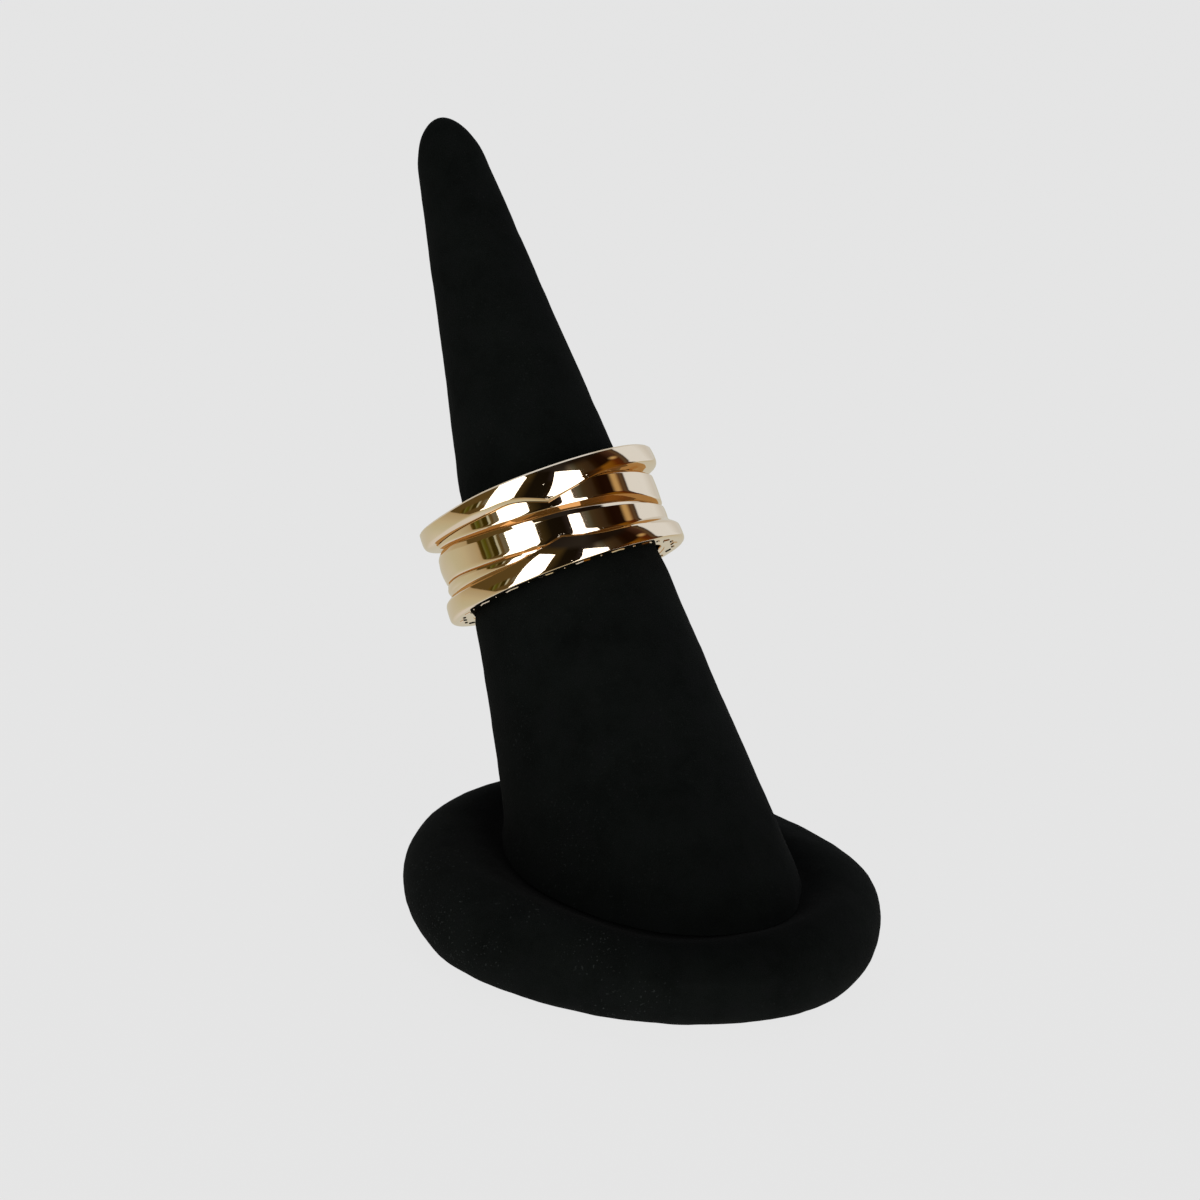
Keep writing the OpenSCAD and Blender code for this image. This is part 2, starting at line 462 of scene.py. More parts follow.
def make_velvet(bm, name, nodes):
    """Closes a velvet piece's work."""
    make_piece(bm, name, Matrix.Scale(MM, 4), black_velvet(), nodes, math.radians(50))


class Graph:
    """Adds nodes to a shader's tree."""

    def __init__(self, tree):
        self.nodes, self.links = tree.nodes, tree.links

    def add(self, kind, **values):
        """A new node with its settings and sockets."""
        node = self.nodes.new("ShaderNode" + kind)
        self.set(node, **values)
        return node

    def feed(self, socket, value):
        """Links a socket, or sets it to a plain value."""
        if isinstance(value, bpy.types.NodeSocket):
            self.links.new(value, socket)
        else:
            socket.default_value = value

    def set(self, node, **values):
        """Sets a node's settings, in small letters, and feeds its sockets, with _ for a space."""
        for key, value in values.items():
            if key.islower():
                setattr(node, key, value)
            else:
                self.feed(node.inputs[key.replace("_", " ")], value)

    def noise(self, place, scale, detail, roughness=0.5):
        """A noise texture's value."""
        texture = self.add("TexNoise", Vector=place, Scale=scale, Detail=detail, Roughness=roughness)
        return texture.outputs["Fac"]

    def span(self, source, low, high, to_low=0.0, to_high=1.0, smooth=False):
        """A value brought from one range to another."""
        node = self.add("MapRange", interpolation_type="SMOOTHSTEP" if smooth else "LINEAR")
        self.set(node, Value=source, From_Min=low, From_Max=high, To_Min=to_low, To_Max=to_high)
        return node.outputs["Result"]

    def mix(self, factor, first, second):
        """Two colours mixed by a factor; each is a socket or a plain colour."""
        first, second = (c if isinstance(c, bpy.types.NodeSocket) else (*c, 1) for c in (first, second))
        return self.add("Mix", data_type="RGBA", Factor=factor, A=first, B=second).outputs["Result"]

    def maths(self, operation, *values, kind="Math", output="Value"):
        """A sum on numbers, or on vectors with the kind VectorMath."""
        node = self.add(kind, operation=operation)
        for socket, value in zip(node.inputs, values):
            self.feed(socket, value)
        return node.outputs[output]

    def ramp(self, rows, source):
        """Colours along a value. Rows: value, colour."""
        low, high = rows[0][0], rows[-1][0]
        node = self.add("ValToRGB", Fac=self.span(source, low, high))
        stops = node.color_ramp.elements
        for i in (0, -1):
            stops[i].color = (*rows[i][1], 1)
        for at, colour in rows[1:-1]:
            stops.new((at - low) / (high - low)).color = (*colour, 1)
        return node.outputs["Color"]

    def bump(self, height, strength, distance):
        """A bumped normal."""
        return self.add("Bump", Strength=strength, Distance=distance, Height=height).outputs["Normal"]


def new_material(name):
    """An empty node material, its graph and its main shader."""
    material = bpy.data.materials.new(name)
    material.use_nodes = True
    return material, Graph(material.node_tree), material.node_tree.nodes["Principled BSDF"]


def polished_gold():
    """Rose gold with a mirror polish, faint haze and hair-fine polishing marks."""
    found = bpy.data.materials.get("polished_rose_gold")
    if found:
        return found
    gold = Vector(bpy.context.scene.band_ring_finish.gold)
    material, graph, shader = new_material("polished_rose_gold")
    place = graph.add("TexCoord").outputs["Object"]
    haze = graph.noise(place, 900.0, 4.0)
    tone = graph.span(graph.noise(place, 220.0, 3.0), 0.3, 0.7)
    graph.set(shader, Metallic=1.0, Specular_Tint=(1.0, 0.97, 0.92, 1.0))
    graph.set(
        shader,
        Base_Color=graph.mix(tone, gold * 0.985, gold),
        Roughness=graph.span(haze, 0.35, 0.75, 0.02, 0.06),
        Normal=graph.bump(haze, 0.02, 0.0001),
    )
    return material


def black_velvet():
    """Near-black short pile: cloudy nap, painted shade in the crease at the cone's foot, low on the cone and
    at the base's left back, and specks of lint at the left.
    """
    found = bpy.data.materials.get("black_velvet")
    if found:
        return found
    finish = bpy.context.scene.band_ring_finish
    velvet = Vector(finish.velvet)
    material, graph, shader = new_material("black_velvet")
    place = graph.add("TexCoord").outputs["Object"]
    cloud = graph.span(graph.noise(place, 260.0, 6.0, 0.7), 0.3, 0.72)
    nap = graph.mix(cloud, velvet * 0.7, velvet * 1.34)
    tint = graph.span(graph.noise(place, 520.0, 2.0), 0.5, 0.75, 0.0, 0.5)
    nap = graph.mix(tint, nap, (velvet.x * 1.05, velvet.y * 0.9, velvet.z * 1.05))
    axes = graph.add("SeparateXYZ", Vector=place)
    specks = graph.span(graph.noise(place, 4600.0, 0.0), 0.72, 0.8)
    specks = graph.maths("MULTIPLY", specks, graph.span(graph.noise(place, 170.0, 1.0), 0.35, 0.6, 0.0, 0.9))
    specks = graph.maths("MULTIPLY", specks, graph.span(axes.outputs["X"], -0.009, -0.015, 0.15, 1.0))
    flecked = graph.mix(specks, nap, tuple(finish.lint))
    # Painted shade: the colour darkens towards velvet * 0.12 where the vertex attribute is high, standing in
    # for shade round the cone's foot.
    painted_shade = graph.add("Attribute", attribute_name="painted_shade")
    dark = graph.span(painted_shade.outputs["Fac"], 0.0, 1.0, 0.0, 0.85)
    graph.set(shader, Roughness=1.0, Specular_IOR_Level=0.02, Sheen_Weight=0.008, Sheen_Roughness=0.5)
    graph.set(
        shader,
        Base_Color=graph.mix(dark, flecked, velvet * 0.12),
        Normal=graph.bump(graph.noise(place, 5200.0, 2.0), 0.5, 0.00008),
    )
    return material


class BANDRING_OT_upper_rim(bpy.types.Operator):
    """Build the upper rim, with the kink in its lower edge"""

    bl_idname = "band_ring.upper_rim"
    bl_label = "Upper Rim"

    def execute(self, context):
        sizes = context.scene.band_ring_sizes
        rim_r, spiral_r, top = mm(sizes.rim_d) / 2, mm(sizes.spiral_d) / 2, mm(sizes.ring_h)
        core = core_radius(sizes)
        top_round, top_in, worn_in, worn_share, bevel_bend = 0.14, 0.15, 0.8, 0.4, 1.2

        def section(angle):
            edge, tall = upper_edge(angle), softened(UPPER_CORNER, angle, 6)
            wide, share = tall / 2, row_value(UPPER_CORNER, wrap(angle), 2)
            wear, depth = (averaged(UPPER_TOP, column, wrap, angle) for column in (1, 2))
            fullest, worn = top - depth, top - wear
            face_top, face_low = worn - top_round, edge + tall
            out, low = rim_face(face_top, fullest, rim_r), rim_face(face_low, fullest, rim_r)
            corner = []
            for (r, z), t in zip(quarter(low, face_low, wide, tall), (0.08, 0.2, 0.4, 0.6, 0.8, 1)):
                bevel_r, bevel_z = low - wide * t**bevel_bend, face_low - tall * t
                corner.append((share * r + (1 - share) * bevel_r, share * z + (1 - share) * bevel_z))
            under = upper_under(angle)
            return (
                [(core, top), (out - worn_in, top - worn_share * wear), (out - top_in, worn)]
                + rim_points(face_top, face_low, fullest, rim_r)
                + corner
                + [(spiral_r + FACE_GAP, under), (core, under)]
            )

        bm = swept_band(section, *ROUND, sizes.steps, True)
        round_edges(bm)
        make_gold(bm, "upper_rim_polished", ["upper_rim"])
        return {"FINISHED"}


class BANDRING_OT_lower_rim(bpy.types.Operator):
    """Build the lower rim, with the kink in its upper edge and the fillet at its right"""

    bl_idname = "band_ring.lower_rim"
    bl_label = "Lower Rim"

    def execute(self, context):
        sizes = context.scene.band_ring_sizes
        rim_r, inner = mm(sizes.rim_d) / 2, mm(sizes.spiral_d) / 2 + FACE_GAP
        core = core_radius(sizes)
        fullest, bevel, bevel_in, fillet_down, fillet_up, flat = 0.6, 0.06, 0.05, 0.28, 0.3, 0.9

        def section(angle):
            edge, soft = lower_edge(angle), softened(LOWER_FILLET, angle, 6)
            top, corner = lower_top(angle), softened(LOWER_ROUND, angle, 6)
            face_top = edge - bevel - fillet_down * soft
            low, out = rim_face(corner, fullest, rim_r), rim_face(face_top, fullest, rim_r)
            joins = []
            for i in range(1, 9):
                t = i / 9
                swing = t * t * (3 - 2 * t)
                straight = (inner + (out - bevel_in - inner) * t, top + (edge - top) * t)
                curved = (inner + (out - inner) * swing, top + fillet_up + (face_top - top - fillet_up) * t)
                joins.append(tuple(straight[k] + (curved[k] - straight[k]) * soft for k in (0, 1)))
            upper = top + fillet_up * soft
            return (
                [(core, upper), (inner, upper)]
                + joins
                + rim_points(face_top, corner, fullest, rim_r)
                + quarter(low, corner, corner, corner, 4)
                + [(low - flat, 0), (core, 0)]
            )

        bm = swept_band(section, *ROUND, sizes.steps, True)
        round_edges(bm)
        make_gold(bm, "lower_rim_polished", ["lower_rim"])
        return {"FINISHED"}


class BANDRING_OT_spiral(bpy.types.Operator):
    """Build the flat band that winds between the rims, with a twisted shoulder above and a soft edge below"""

    bl_idname = "band_ring.spiral"
    bl_label = "Spiral Band"

    def execute(self, context):
        sizes = context.scene.band_ring_sizes
        spiral_r, pitch = mm(sizes.spiral_d) / 2, mm(sizes.pitch)
        core = core_radius(sizes)
        side_ease, crease_ease, least_step, sunk = 0.05, 0.04, 0.002, 0.02

        def root_radius(side, inset):
            return spiral_r - EDGE_SOFT - EDGE_SHARP - max(GROOVE_DEPTH * side, inset)

        def section(angle):
            top_limit, low_limit = upper_under(angle) - GAP, lower_top(angle) + GAP
            above, low = spiral_low(angle - 360, pitch), max(spiral_low(angle, pitch), low_limit)
            root, side, crease, inset, roundness, swell = (groove_value(angle, c) for c in range(1, 7))
            own_root, own_side, own_inset = (groove_value(angle + 360, c) for c in (1, 2, 4))
            root_at = (root_radius(side, inset), above - root - GAP)
            shoulder = [
                (spiral_r - inset * (1 - t) ** roundness, above - side - (crease - side) * t)
                for t in (0, 0.2, 0.4, 0.6, 0.8, 1)
            ]
            side_end = eased(root_at, shoulder[0], shoulder[1], side_ease)
            crease_end = eased(shoulder[-2], shoulder[-1], (spiral_r, above - crease - 0.2), crease_ease)
            soft = 0.28 if angle < 270 else 0.42
            top, bottom = above - crease, low + soft
            face = [
                (spiral_r + swell * 4 * t * (1 - t), top + (bottom - top) * t)
                for t in (0.05, 0.12, 0.3, 0.5, 0.7, 0.88, 0.95)
            ]
            lower = [
                (spiral_r - EDGE_SOFT * h**2 - EDGE_SHARP * h**12, low + soft * (1 - h))
                for h in (0, 0.2, 0.4, 0.6, 0.75, 0.85, 0.92, 0.97, 1)
            ]
            floor = max(low - own_root, low_limit)
            lower += [(root_radius(own_side, own_inset), floor), (core, floor)]
            points, most = [], top_limit
            for r, z in [(core, root_at[1]), root_at] + side_end + shoulder[1:-1] + crease_end + face + lower:
                z = min(z, most)
                points.append([r, z])
                most = z - (least_step if len(points) > 1 else 0)
            least = low_limit - sunk
            for point in reversed(points):
                point[1] = max(point[1], least)
                least = point[1] + least_step
            return points

        bm = swept_band(section, SPIRAL_FROM, SPIRAL_TO, SPIRAL_TO - SPIRAL_FROM, False)
        make_gold(bm, "spiral_band_polished", ["spiral_band"], 14)
        return {"FINISHED"}


class BANDRING_OT_inner_band(bpy.types.Operator):
    """Build the smooth band that lines the bore"""

    bl_idname = "band_ring.inner_band"
    bl_label = "Inner Band"

    def execute(self, context):
        sizes = context.scene.band_ring_sizes
        inside, wall = mm(sizes.bore_d) / 2, mm(sizes.inner_wall)
        soft, low = wall * 0.8, 0.05
        top = mm(sizes.ring_h) - low
        corner = [math.radians(a) for a in (0, 22, 45, 68, 90)]
        upper = [(inside + soft - soft * math.sin(a), top - soft + soft * math.cos(a)) for a in corner]
        lower = [(inside + soft - soft * math.cos(a), low + soft - soft * math.sin(a)) for a in corner]
        outline = [(inside + wall, top)] + upper + lower + [(inside + wall, low)]
        bm = swept_band(lambda angle: outline, *ROUND, 240, True)
        make_gold(bm, "inner_band_polished", ["inner_band"])
        return {"FINISHED"}


class BANDRING_OT_ornament(bpy.types.Operator):
    """Build the row of small lozenges and dots on the ring's lower face"""

    bl_idname = "band_ring.ornament"
    bl_label = "Lower Face Ornament"

    def execute(self, context):
        count, row_r, depth, sunk = 36, 9.95, 0.12, -0.012
        lozenge = Matrix.Diagonal((0.62, 0.3, 1, 1))
        bm = bmesh.new()
        for k in range(count):
            at = Matrix.Rotation(math.tau * k / count, 4, "Z") @ Matrix.Translation((0, -row_r, sunk))
            shape = {"segments": 12, "radius1": 0.13, "radius2": 0.24, "matrix": at}
            if k % 2:
                shape = {"segments": 4, "radius1": 0.95, "radius2": 1.3, "matrix": at @ lozenge}
            bmesh.ops.create_cone(bm, cap_ends=True, depth=depth, **shape)
        make_gold(bm, "lower_face_ornament")
        return {"FINISHED"}


def uneven(co, scale, amount):
    """Small soft bumps of cloth over its core."""
    return amount * (noise.noise(co * scale) + 0.5 * noise.noise(co * scale * 2.7))


def fade(distance, width):
    """Falls softly from 1 at no distance."""
    return math.exp(-((distance / width) ** 2))


def heading(co):
    """Angle of a point in the stand's frame, in degrees."""
    return math.degrees(math.atan2(co.y, co.x))


class BANDRING_OT_finger_cone(bpy.types.Operator):
    """Build the leaning velvet cone, with cloth that flares at its foot"""

    bl_idname = "band_ring.finger_cone"
    bl_label = "Finger Cone"

    def execute(self, context):
        stand, sizes = context.scene.band_ring_stand, context.scene.band_ring_sizes
        foot_r, tip_r, tip_h, base_h = (mm(v) for v in (stand.foot_r, stand.tip_r, stand.tip_h, stand.base_h))
        slope = math.tan(stand.cone_angle)
        seat = seat_place(stand, sizes)
        leaves = math.atan(tip_h / tip_r * slope)
        end = foot_r / slope - tip_r * math.cos(leaves) / slope
        tip_at = end - tip_h * math.sin(leaves)
        side_steps, tip_steps, buried = 130, 17, 0.35
        side = [-foot_r + (end + foot_r) * i / side_steps for i in range(side_steps + 1)]
        points = [(foot_r - u * slope, u) for u in side]
        for i in range(1, tip_steps + 1):
            a = leaves + (math.pi / 2 - leaves) * i / tip_steps
            points.append((max(tip_r * math.cos(a), 0.0), tip_at + tip_h * math.sin(a)))
        bm = turned(points, 200)
        for v in bm.verts:
            facing = max(0.0, math.cos(math.radians(heading(v.co) - BULGE_AT)))
            bulge = row_value(RING_BULGE, v.co.z - seat) * (BULGE_LEAST + (1 - BULGE_LEAST) * facing)
            v.co += Vector((v.co.x, v.co.y, 0)).normalized() * bulge
        lean = Matrix.Translation((0, 0, base_h)) @ Matrix.Rotation(-stand.lean, 4, "X")
        bmesh.ops.transform(bm, matrix=lean, verts=bm.verts)
        cut = bmesh.ops.bisect_plane(
            bm, geom=bm.verts[:] + bm.edges[:] + bm.faces[:], dist=1e-5, plane_co=(0, 0, base_h - buried),
            plane_no=(0, 0, 1), clear_inner=True,
        )
        rim = [e for e in cut["geom_cut"] if isinstance(e, bmesh.types.BMEdge)]
        bmesh.ops.holes_fill(bm, edges=rim, sides=0)
        bm.normal_update()
        # Painted shade, kept on the vertices: darkest at the cone's foot and fading up the cone.
        painted_shade = bm.verts.layers.float.new("painted_shade")
        flare_to, flare_fade = 9, 1.1
        for v in bm.verts:
            height = max(v.co.z - base_h, 0)
            lump = uneven(v.co, 0.35, mm(stand.nap))
            v[painted_shade] = sum(share * fade(height, width) for share, width in CONE_PAINTED_SHADE)
            if height < flare_to:
                out = row_value(FOOT_FLARE, heading(v.co)) * math.exp(-height / flare_fade)
                v.co += Vector((v.co.x, v.co.y, 0)).normalized() * out
            v.co += v.normal * lump
        make_velvet(bm, "velvet_cone", ["finger_cone"])
        return {"FINISHED"}


class BANDRING_OT_stand_base(bpy.types.Operator):
    """Build the round velvet base, with the crease round the cone's foot"""

    bl_idname = "band_ring.stand_base"
    bl_label = "Stand Base"

    def execute(self, context):
        stand = context.scene.band_ring_stand
        base_r, base_h = mm(stand.base_d) / 2, mm(stand.base_h)
        slope, foot_r = math.tan(stand.cone_angle), mm(stand.foot_r)
        edge = base_h / 2
        flat = base_r - edge
        edge_steps, flat_steps = 24, 60
        turns = [math.radians(-90 + 180 * i / edge_steps) for i in range(edge_steps + 1)]
        points = [(0, 0)] + [(flat + edge * math.cos(a), edge + edge * math.sin(a)) for a in turns]
        points += [(flat * (1 - i / flat_steps), base_h) for i in range(1, flat_steps + 1)]
        bm = turned(points, 240)
        bmesh.ops.recalc_face_normals(bm, faces=bm.faces)
        bm.normal_update()
        # Painted shade, kept on the vertices: in the crease round the cone's foot and, fainter, at the base's
        # left back.
        painted_shade = bm.verts.layers.float.new("painted_shade")
        dip_depth, dip_at, dip_wide = 0.55, 0.2, 1.6**0.5
        pillow_rise, pillow_at, pillow_wide = 0.16, 3.4, 3.0**0.5
        for v in bm.verts:
            if v.co.z > base_h - 2.5 and math.hypot(v.co.x, v.co.y) > 1:
                back = v.co.y * math.sin(stand.lean)
                across = math.hypot(v.co.x, v.co.y * math.cos(stand.lean))
                off = across - (foot_r - back * slope) - row_value(FOOT_FLARE, heading(v.co))
                rise = pillow_rise * fade(off - pillow_at, pillow_wide)
                rise -= dip_depth * fade(off - dip_at, dip_wide)
                v.co.z += rise * (1 if v.co.z > base_h - 0.5 else 0.4)
                left_back_shade = 0.2 if v.co.x < -9 and v.co.y > -6 else 0.0
                v[painted_shade] = 0.95 * fade(max(off - 0.3, 0), 3.0) + left_back_shade * fade(off, 5)
            if v.co.z > 0.3:
                v.co += v.normal * uneven(v.co, 0.3, mm(stand.nap))
            from_axis = math.hypot(v.co.x, v.co.y)
            if from_axis > flat - 2 and v.co.z > 0:
                swell = softened(BASE_SWELL, heading(v.co), 8) * min(1.0, (from_axis - flat + 2) / 2)
                v.co += Vector((v.normal.x, v.normal.y, v.normal.z if v.co.z > 1 else 0)) * swell
        make_velvet(bm, "velvet_base", ["stand_base"])
        return {"FINISHED"}


# The photograph's frame: its width in pixels, the sensor's in mm, and where the cone's foot is in pixels.
FRAME_WIDE = 1200
SENSOR_WIDE = 36
FOOT_IN_FRAME = (646.1, 857.4)
# How much nearer to the camera the cone's foot is than the middle of the view, in mm.
FOOT_NEARER = 4.73
# Middle of the ring in metres, which the soft boxes stand round.
RING_MIDDLE = Vector((0, 0.018, 0.031))
# Rows: name, azimuth from the camera, extra turn, then half the width and the heights of the lower and
# upper edge in parts of the distance.
SOFT_BOXES = (
    ("left_soft_box", -33, 0, 0.23, -0.19, 0.95),
    ("right_soft_box", 35.5, -21.5, 0.32, 0.06, 1.05),
)


def camera_axes(stage):
    """Matrix from the model's frame to the camera's right, up and back."""
    level = math.cos(stage.elevation)
    up = Vector((level * math.sin(stage.roll), level * math.cos(stage.roll), math.sin(stage.elevation)))
    right = up.cross(Vector((0, 0, 1))).normalized()
    away = up.cross(right)
    lean_way = away * math.cos(stage.side) - right * math.sin(stage.side)
    return Matrix((lean_way.cross(up), lean_way, up)).transposed()


class BANDRING_OT_stage(bpy.types.Operator):
    """Set the pale floor, the soft boxes, the room's light and the camera"""

    bl_idname = "band_ring.stage"
    bl_label = "Studio Stage"

    def execute(self, context):
        scene = context.scene
        stage = scene.band_ring_stage
        to_model = camera_axes(stage).transposed()
        front = to_model @ Vector((0, 0, 1))
        front = Vector((front.x, front.y, 0)).normalized()
        self.set_camera(scene, stage, to_model)
        self.set_boxes(scene, stage, front)
        self.lay_floor(scene, stage)
        self.light_room(scene, front)
        scene.view_settings.view_transform = "Standard"
        scene.view_settings.look = "None"
        return {"FINISHED"}

    def set_camera(self, scene, stage, to_model):
        """The camera at the photograph's angle."""
        per_mm = stage.lens / SENSOR_WIDE * FRAME_WIDE / mm(stage.distance)
        per_mm /= 1 - FOOT_NEARER * MM / stage.distance
        right, down = ((at - FRAME_WIDE / 2) / per_mm for at in FOOT_IN_FRAME)
        shift = Vector((right, -down, FOOT_NEARER)) * MM
        foot = Vector((0, 0, scene.band_ring_stand.base_h))
        eye = to_model @ (Vector((0, 0, stage.distance)) - shift) + foot
        lens = bpy.data.cameras.new("photo_camera")
        lens.lens, lens.sensor_width = stage.lens, SENSOR_WIDE
        lens.clip_start, lens.clip_end = 0.05, 20
        camera = bpy.data.objects.new("photo_camera", lens)
        camera.matrix_world = Matrix.Translation(eye) @ to_model.to_4x4()
        scene.collection.objects.link(camera)
        scene.camera = camera

    def set_boxes(self, scene, stage, front):
        """Two soft boxes, dimmer and warmer from the gold's second reflection on."""
        up = Vector((0, 0, 1))
        far = stage.box_distance
        for name, azimuth, turn, half, low, high in SOFT_BOXES:
            way, back = (Matrix.Rotation(math.radians(a), 3, "Z") @ front for a in (azimuth, azimuth + turn))
            light = bpy.data.lights.new(name, "AREA")
            light.shape = "RECTANGLE"
            light.size, light.size_y = 2 * half * far, (high - low) * far
            light.energy = stage.box_strength * math.pi * light.size * light.size_y
            light.use_nodes = True
            graph = Graph(light.node_tree)
            deep = graph.span(graph.add("LightPath").outputs["Ray Depth"], *DEEP_FROM)
            graph.set(graph.nodes["Emission"], Color=graph.mix(deep, (1, 1, 1), DEEP_LAMP))
            box = bpy.data.objects.new(name, light)
            facing = Matrix((up.cross(back), up, back)).transposed().to_4x4()
            spot = RING_MIDDLE + way * far + up * (low + high) / 2 * far
            box.matrix_world = Matrix.Translation(spot) @ facing
            box.visible_camera = False
            scene.collection.objects.link(box)

    def lay_floor(self, scene, stage):
        """The plain pale floor, with an even glow that the gold doesn't show."""
        bm = bmesh.new()
        bmesh.ops.create_grid(bm, x_segments=4, y_segments=4, size=4.0)
        mesh = bpy.data.meshes.new("pale_floor")
        bm.to_mesh(mesh)
        bm.free()
        material, graph, shader = new_material("pale_floor_paint")
        graph.set(
            shader, Base_Color=(0.03, 0.03, 0.03, 1), Roughness=1.0, Specular_IOR_Level=0.0,
            Emission_Color=(1, 1, 1, 1), Emission_Strength=stage.floor_glow,
        )
        mesh.materials.append(material)
        floor = bpy.data.objects.new("pale_floor", mesh)
        floor.visible_glossy = False
        scene.collection.objects.link(floor)

    def light_room(self, scene, front):
        """The room as the polished gold shows it, by azimuth from the camera and elevation."""
        scene.world = bpy.data.worlds.new("studio_room")
        scene.world.use_nodes = True
        graph = Graph(scene.world.node_tree)
        span, mix, maths = graph.span, graph.mix, graph.maths
        place = graph.add("TexCoord").outputs["Generated"]
        turn = graph.add("Mapping", vector_type="POINT", Vector=place)
        graph.set(turn, Rotation=(0, 0, -math.atan2(front.y, front.x)))
        axes = graph.add("SeparateXYZ", Vector=turn.outputs["Vector"]).outputs
        azimuth = maths("DEGREES", maths("ARCTAN2", axes["Y"], axes["X"]))
        rise = maths("DEGREES", maths("ARCSINE", axes["Z"]))
        low, high, ceiling = (graph.ramp(rows, azimuth) for rows in (LOW_WALLS, HIGH_WALLS, CEILING))
        walls = mix(span(rise, *HIGH_FROM), low, high)
        walls = mix(span(rise, *CEILING_FROM), walls, ceiling)
        # The doorway shows in a slanting band at the camera's left.
        band = maths("ABSOLUTE", maths("SUBTRACT", rise, maths("MULTIPLY_ADD", azimuth, *DOORWAY_LINE)))
        shown = maths("MULTIPLY", maths("COMPARE", azimuth, *DOORWAY_REACH), span(band, *DOORWAY_FADE, 1, 0))
        walls = mix(shown, walls, graph.ramp(DOORWAY, azimuth))
        # A soft tan lamp at the right, and the small lamps.
        where = graph.add("CombineXYZ", X=azimuth, Y=rise).outputs["Vector"]
        spot = graph.add("Mapping", vector_type="TEXTURE", Vector=where, **TAN_LAMP).outputs["Vector"]
        glow = graph.add("TexGradient", gradient_type="SPHERICAL", Vector=spot).outputs["Fac"]
        lamp = span(glow, 0.0, 0.9, smooth=True)
        walls = mix(maths("MULTIPLY", lamp, maths("LESS_THAN", azimuth, TAN_END)), walls, TAN_COLOUR)
        for lamp_at in SMALL_LAMPS:
            away = maths("DISTANCE", where, (*lamp_at, 0), kind="VectorMath")
            walls = mix(span(away, *LAMP_EDGE), walls, LAMP_COLOUR)
        # The table is greyer behind the stand. Its far edge is higher in front and lower at the right.
        behind = maths("MAXIMUM", span(azimuth, -112, -148), span(azimuth, 112, 148))
        behind = maths("MULTIPLY", behind, span(rise, -60, -35))
        table = mix(behind, graph.ramp(TABLE, rise), TABLE_BEHIND)
        in_front = maths("MULTIPLY", span(azimuth, -46, -34), span(azimuth, 62, 50))
        at_right = maths("MULTIPLY", span(azimuth, 50, 62), span(azimuth, 112.5, 111.5))
        horizon = maths("MULTIPLY_ADD", in_front, EDGE_IN_FRONT, FAR_EDGE)
        horizon = maths("MULTIPLY_ADD", at_right, EDGE_AT_RIGHT, horizon)
        seen = mix(span(maths("SUBTRACT", rise, horizon), -0.5, 0.5), table, walls)
        # From the second reflection on the room is dimmer and warmer.
        path = graph.add("LightPath")
        vector = {"kind": "VectorMath", "output": "Vector"}
        capped = maths("MINIMUM", seen, DEEP_CAP, **vector)
        deep = maths("MULTIPLY_ADD", capped, (DEEP_SHARE,) * 3, DEEP_LIFT, **vector)
        seen = mix(span(path.outputs["Ray Depth"], *DEEP_FROM), seen, deep)
        room, plain = graph.nodes["Background"], graph.add("Background", Color=PLAIN)
        graph.set(room, Color=seen)
        choose = graph.add("MixShader", Fac=path.outputs["Is Camera Ray"])
        for i, shader in enumerate((room, plain), 1):
            graph.feed(choose.inputs[i], shader.outputs["Background"])
        graph.set(graph.nodes["World Output"], Surface=choose.outputs["Shader"])


BACKDROP = (0.754, 0.813, 0.9)
PALE = (0.6, 0.61, 0.6)
DIM = (0.1, 0.065, 0.02)
BROWN = (0.05, 0.033, 0.01)
DARK = (0.0085, 0.006, 0.003)
# Colours of the room up to the middle of the walls.
# Rows: azimuth from the camera in degrees, plus to its right, colour.
LOW_WALLS = (
    (-180, PALE), (-116, PALE), (-113, DIM), (-48, DIM), (-46, (0.16, 0.14, 0.09)),
    (-20, BROWN), (-7, DARK), (10, DARK),
    (53, (0.05, 0.025, 0.008)), (57, (0.02, 0.008, 0.002)), (68, (0.05, 0.018, 0.004)),
    (76, (0.1, 0.035, 0.005)), (80, (0.2, 0.08, 0.007)), (92, (0.18, 0.07, 0.005)),
    (100, (0.1, 0.022, 0.003)), (107, (0.07, 0.02, 0.006)), (109, (0.095, 0.06, 0.03)),
    (112, (0.09, 0.055, 0.03)), (113.3, (0.03, 0.014, 0.0065)), (114.3, (0.1, 0.09, 0.08)),
    (115.5, BACKDROP), (140, BACKDROP), (155, (0.62, 0.64, 0.66)), (180, PALE),
)
# The same for the upper part of the walls.
HIGH_WALLS = (
    (-180, BACKDROP), (-116, BACKDROP), (-113, (0.04, 0.025, 0.01)), (-20, BROWN),
    (-17, BROWN), (-7, DARK), (8, (0.0075, 0.005, 0.0025)),
    (14, (0.019, 0.014, 0.013)), (30, (0.03, 0.025, 0.02)), (38, (0.12, 0.1, 0.078)),
    (43.5, (0.084, 0.081, 0.057)), (50, (0.054, 0.038, 0.018)), (59, (0.047, 0.028, 0.0125)),
    (67, (0.036, 0.021, 0.01)), (72.5, (0.018, 0.0076, 0.002)), (80, (0.011, 0.0037, 0.001)),
    (93, (0.014, 0.005, 0.002)), (107, (0.065, 0.029, 0.017)), (109, (0.0975, 0.061, 0.03)),
    (112, (0.083, 0.048, 0.026)), (113.3, (0.03, 0.014, 0.0065)), (114.3, (0.1, 0.09, 0.08)),
    (115.5, BACKDROP), (180, BACKDROP),
)
# The same for the ceiling.
CEILING = (
    (-180, BACKDROP), (-116, BACKDROP), (-113, (0.01, 0.007, 0.005)), (12, (0.024, 0.02, 0.017)),
    (50, (0.012, 0.007, 0.004)), (112, (0.01, 0.007, 0.005)), (116, BACKDROP), (180, BACKDROP),
)
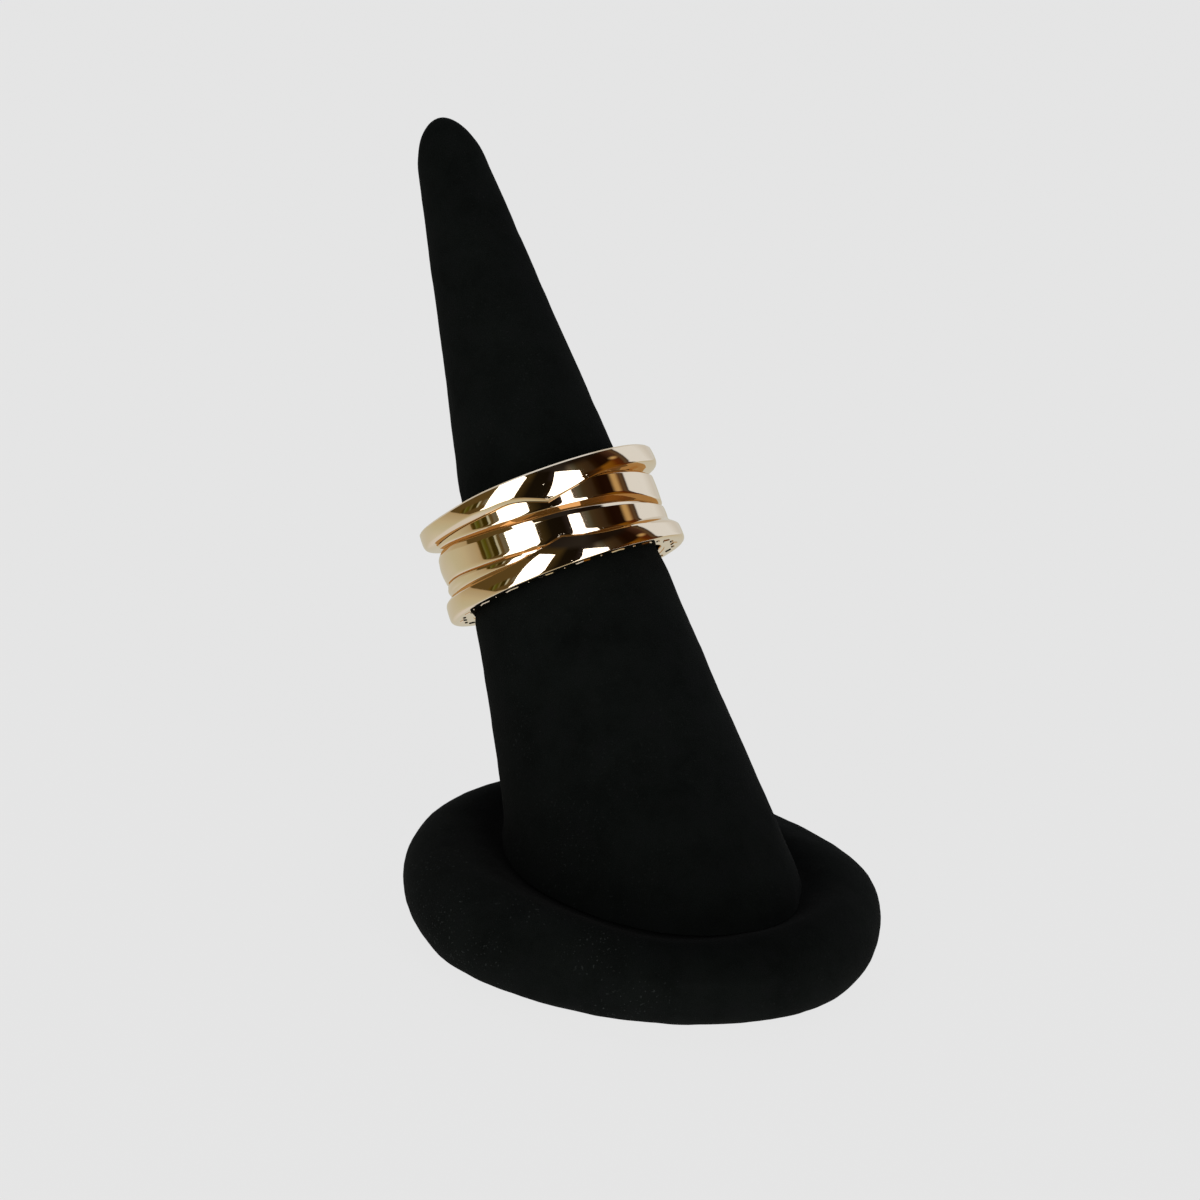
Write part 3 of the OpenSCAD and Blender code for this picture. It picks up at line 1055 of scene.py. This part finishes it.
# The dark doorway with two bright frames at the left of the camera.
DOORWAY = (
    (-75, DIM), (-72.2, (0.105, 0.065, 0.009)), (-70, (0.058, 0.038, 0.005)),
    (-68.6, (0.058, 0.038, 0.005)), (-67.6, (0.137, 0.138, 0.04)), (-66, (0.093, 0.094, 0.0125)),
    (-64, (0.08, 0.069, 0.004)), (-62.8, (0.095, 0.076, 0.023)), (-61.4, (0.165, 0.145, 0.055)),
    (-60.4, (0.07, 0.05, 0.01)), (-59.6, (0.038, 0.025, 0.002)), (-56, (0.042, 0.03, 0.004)),
    (-55.3, (0.45, 0.46, 0.36)), (-54.2, (0.45, 0.46, 0.36)), (-53.4, (0.129, 0.094, 0.033)),
    (-51.6, (0.096, 0.06, 0.018)), (-50, (0.156, 0.133, 0.086)), (-47.5, (0.13, 0.12, 0.08)),
    (-46, (0.16, 0.14, 0.09)),
)
# Colours of the table and floor. Rows: elevation, colour.
TABLE = (
    (-90, (0.69, 0.7, 0.72)), (-45, (0.68, 0.68, 0.68)), (-36, (0.6, 0.59, 0.5)),
    (-30, (0.534, 0.524, 0.398)), (-23, (0.521, 0.471, 0.328)), (-18.5, (0.466, 0.402, 0.273)),
    (-15.5, (0.442, 0.373, 0.237)), (-13, (0.418, 0.328, 0.194)), (0, (0.418, 0.328, 0.194)),
)
# Ray depths between which the gold's second reflection starts.
DEEP_FROM = (2.2, 2.8)
# The room from then on: the most it gives, the share of that which stays, and what is added.
DEEP_CAP = (0.457, 0.3, 0.143)
DEEP_SHARE = 0.7
DEEP_LIFT = (0.1, 0.07, 0.03)
# The soft boxes' colour from then on.
DEEP_LAMP = (0.32, 0.26, 0.2)
# Small bright lamps that dot the rims. Rows: azimuth, elevation.
SMALL_LAMPS = ((51, 32.3), (56.5, 30.9), (6.6, 30.5))
LAMP_EDGE = (0.8, 0.4)
LAMP_COLOUR = (3, 3, 3)
# Elevations between which the lower walls give way to the upper ones, and those to the ceiling.
HIGH_FROM = (33, 36.5)
CEILING_FROM = (49, 58)
# The doorway's band: slope and height of its middle line, its azimuth and reach, and where it fades.
DOORWAY_LINE = (0.75, 42.5)
DOORWAY_REACH = (-60.5, 14.0)
DOORWAY_FADE = (2.5, 5)
# The tan lamp, by azimuth and elevation, and the azimuth where it is cut off.
TAN_LAMP = {"Location": (101, 35, 0), "Rotation": (0, 0, math.radians(-26)), "Scale": (9, 3, 1)}
TAN_END = 112.0
TAN_COLOUR = (0.5, 0.33, 0.14)
# Elevation of the table's far edge, its rise in front and its drop at the right.
FAR_EDGE = -12.4
EDGE_IN_FRONT = 18.4
EDGE_AT_RIGHT = -28.0
TABLE_BEHIND = (0.565, 0.561, 0.497)
# What the camera sees of the room.
PLAIN = (0.783, 0.783, 0.783, 1)


class BANDRING_PT_parts(bpy.types.Panel):
    """Lists the ring's and the stand's pieces"""

    bl_label = "Band Ring"
    bl_space_type = "VIEW_3D"
    bl_region_type = "UI"
    bl_category = "Band Ring"

    def draw(self, context):
        for key, group in GROUPS.items():
            column = self.layout.column(align=True)
            for name in group.__annotations__:
                column.prop(getattr(context.scene, key), name)
        for operator in OPERATORS:
            self.layout.operator(operator.bl_idname)


OPERATORS = (
    BANDRING_OT_upper_rim, BANDRING_OT_lower_rim, BANDRING_OT_spiral, BANDRING_OT_inner_band,
    BANDRING_OT_ornament, BANDRING_OT_finger_cone, BANDRING_OT_stand_base, BANDRING_OT_stage,
)
GROUPS = {
    "band_ring_sizes": BandRingSizes,
    "band_ring_stand": BandRingStand,
    "band_ring_finish": BandRingFinish,
    "band_ring_stage": BandRingStage,
}


def register():
    for key, group in GROUPS.items():
        bpy.utils.register_class(group)
        setattr(bpy.types.Scene, key, PointerProperty(type=group))
    for shown in (*OPERATORS, BANDRING_PT_parts):
        bpy.utils.register_class(shown)


def unregister():
    for shown in (BANDRING_PT_parts, *reversed(OPERATORS)):
        bpy.utils.unregister_class(shown)
    for key, group in GROUPS.items():
        delattr(bpy.types.Scene, key)
        bpy.utils.unregister_class(group)


def main():
    register()
    for name in (
        "upper_rim", "lower_rim", "spiral", "inner_band", "ornament", "finger_cone", "stand_base", "stage",
    ):
        getattr(bpy.ops.band_ring, name)()


if __name__ == "__main__":
    main()
